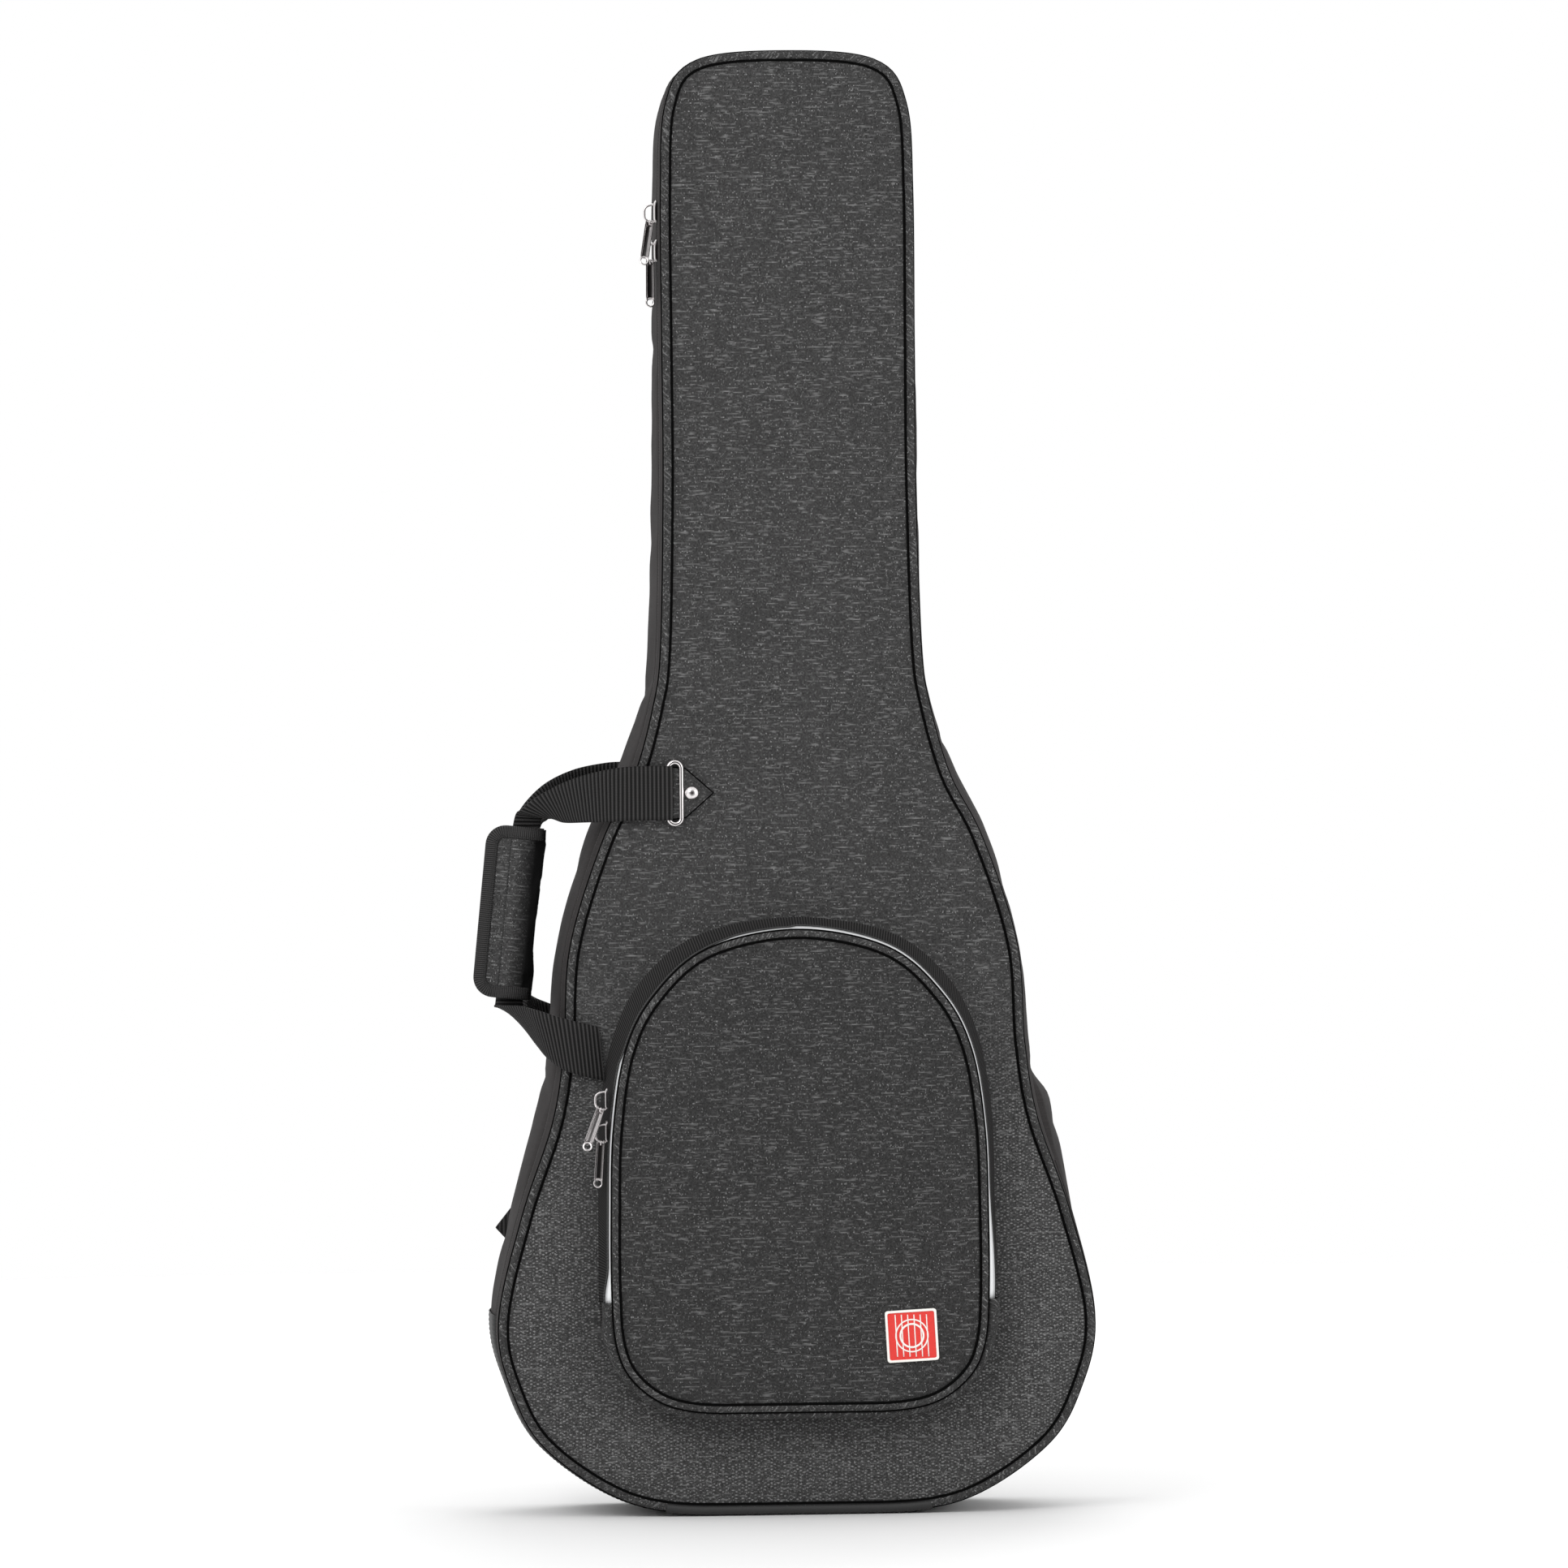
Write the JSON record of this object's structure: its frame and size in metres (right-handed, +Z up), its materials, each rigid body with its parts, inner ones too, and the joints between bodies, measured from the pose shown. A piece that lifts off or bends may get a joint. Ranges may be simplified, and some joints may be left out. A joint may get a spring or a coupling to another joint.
{
  "type": "guitar gig bag",
  "caption": "Padded guitar gig bag with a zipped side-opening lid, a domed front pocket, a wrapped carry handle and backpack straps.",
  "frame": {"origin": "centre of the flat base on the bottom guard, between the bag's sides", "axes": "+Z up the bag to the neck end, -Y out of the front pocket, +X to the hinge side"},
  "size_m": [0.4605, 0.2101, 1.08],
  "materials": {
    "heather_front": "heather polyester twill with light slubs",
    "heather_pocket": "heather polyester, slightly darker and warmer",
    "side_cloth": "smooth dark grey polyester",
    "piping_cloth": "heather cloth over a cord",
    "foam": "closed-cell padding, covered on both faces",
    "lining_cloth": "soft black nylon lining",
    "guard_rib": "ribbed abrasion strip",
    "zip_black": "black nylon coil zip on woven tape",
    "webbing_black": "ribbed black webbing",
    "nickel": "polished nickel plate",
    "reflective": "retro-reflective tape",
    "badge_white": "satin white metal edge",
    "badge_red": "red enamel",
    "strap_mesh": "padded strap cloth with air mesh",
    "black_plastic": "moulded acetal"
  },
  "bodies": {
    "case": {"back_cover": "side_cloth", "back_foam": "foam", "case_lining": "lining_cloth", "wall_cover": "side_cloth", "wall_foam_left": "foam", "wall_foam_right": "foam", "back_piping": "piping_cloth", "bottom_guard": "guard_rib", "case_zip": "zip_black", "neck_rest": "lining_cloth", "hang_loop": "webbing_black", "strap_yoke": "side_cloth", "rear_handle_tab": "heather_front", "rear_handle_ring": "nickel", "rear_handle_rivet": "nickel", "anchor_tabs": "webbing_black", "anchor_rings": "nickel"},
    "lid": {"front_cover": "heather_front", "front_foam": "foam", "lid_lining": "lining_cloth", "rim_cover": "side_cloth", "rim_foam": "foam", "front_piping": "piping_cloth", "lid_zip": "zip_black", "rim_guard": "guard_rib", "front_handle_tab": "heather_front", "front_handle_ring": "nickel", "front_handle_rivet": "nickel", "pocket_wall": "side_cloth", "pocket_band": "webbing_black", "pocket_lower_zip": "zip_black", "pocket_lower_front": "heather_pocket", "badge_frame": "badge_white", "badge_enamel": "badge_red"},
    "pocket_door": {"pocket_cover": "heather_pocket", "pocket_foam": "foam", "pocket_piping": "piping_cloth", "pocket_upper_zip": "zip_black", "reflective_strip": "reflective"},
    "front_handle": {"front_webbing": "webbing_black", "grip_pad": "heather_front", "grip_binding": "webbing_black"},
    "rear_handle": {"rear_webbing": "webbing_black"},
    "upper_slider": {"upper_slider": "nickel"},
    "upper_pull": {"upper_pull": "nickel"},
    "lower_slider": {"lower_slider": "nickel"},
    "lower_pull": {"lower_pull": "nickel"},
    "pocket_slider_a": {"pocket_slider_a": "nickel"},
    "pocket_pull_a": {"pocket_pull_a": "nickel"},
    "pocket_slider_b": {"pocket_slider_b": "nickel"},
    "pocket_pull_b": {"pocket_pull_b": "nickel"},
    "strap_left": {"strap_pad_left": "strap_mesh", "strap_webbing_left": "webbing_black", "strap_buckle_left": "black_plastic", "strap_hook_left": "black_plastic"},
    "strap_right": {"strap_pad_right": "strap_mesh", "strap_webbing_right": "webbing_black", "strap_buckle_right": "black_plastic", "strap_hook_right": "black_plastic"}
  },
  "joints": [
    {"name": "lid_hinge", "type": "hinge", "parent": "case", "child": "lid", "pos_m": [0.2215, -0.05, 0.224], "axis": [0, 0, 1], "range_deg": [0, 160]},
    {"name": "pocket_fold", "type": "hinge", "parent": "lid", "child": "pocket_door", "pos_m": [0, -0.1136, 0.157], "axis": [1, 0, 0], "range_deg": [0, 125]},
    {"name": "front_handle_swing", "type": "hinge", "parent": "lid", "child": "front_handle", "pos_m": [-0.0916, -0.077, 0.532], "axis": [0.3081, 0.0076, 0.9513], "range_deg": [0, 100]},
    {"name": "rear_handle_swing", "type": "hinge", "parent": "case", "child": "rear_handle", "pos_m": [-0.0916, 0.079, 0.536], "axis": [-0.3431, 0, -0.9393], "range_deg": [0, 100]},
    {"name": "upper_slider_run", "type": "slide", "parent": "case", "child": "upper_slider", "axis": [0.0055, 0, 1], "range_m": [0, 0.03]},
    {"name": "upper_pull_swing", "type": "hinge", "parent": "upper_slider", "child": "upper_pull", "pos_m": [-0.1003, -0.05, 0.9535], "axis": [-1, 0, 0], "range_deg": [0, 65]},
    {"name": "lower_slider_run", "type": "slide", "parent": "case", "child": "lower_slider", "axis": [-0.0055, 0, -1], "range_m": [0, 0.23]},
    {"name": "lower_pull_swing", "type": "hinge", "parent": "lower_slider", "child": "lower_pull", "pos_m": [-0.1003, -0.05, 0.9245], "axis": [-1, 0, 0], "range_deg": [-55, 55]},
    {"name": "pocket_slider_a_run", "type": "slide", "parent": "lid", "child": "pocket_slider_a", "axis": [0, 0, 1], "range_m": [0, 0.015]},
    {"name": "pocket_pull_a_swing", "type": "hinge", "parent": "pocket_slider_a", "child": "pocket_pull_a", "pos_m": [-0.1449, -0.095, 0.3005], "axis": [-1, 0, 0], "range_deg": [0, 60]},
    {"name": "pocket_slider_b_run", "type": "slide", "parent": "lid", "child": "pocket_slider_b", "axis": [-0.03, 0, -0.9996], "range_m": [0, 0.09]},
    {"name": "pocket_pull_b_swing", "type": "hinge", "parent": "pocket_slider_b", "child": "pocket_pull_b", "pos_m": [-0.1449, -0.095, 0.2765], "axis": [-1, 0, 0], "range_deg": [-12, 75]},
    {"name": "strap_left_swing", "type": "hinge", "parent": "case", "child": "strap_left", "pos_m": [-0.044, 0.08, 0.606], "axis": [1, 0, 0], "range_deg": [0, 110]},
    {"name": "strap_right_swing", "type": "hinge", "parent": "case", "child": "strap_right", "pos_m": [0.044, 0.08, 0.606], "axis": [1, 0, 0], "range_deg": [0, 110]}
  ]
}
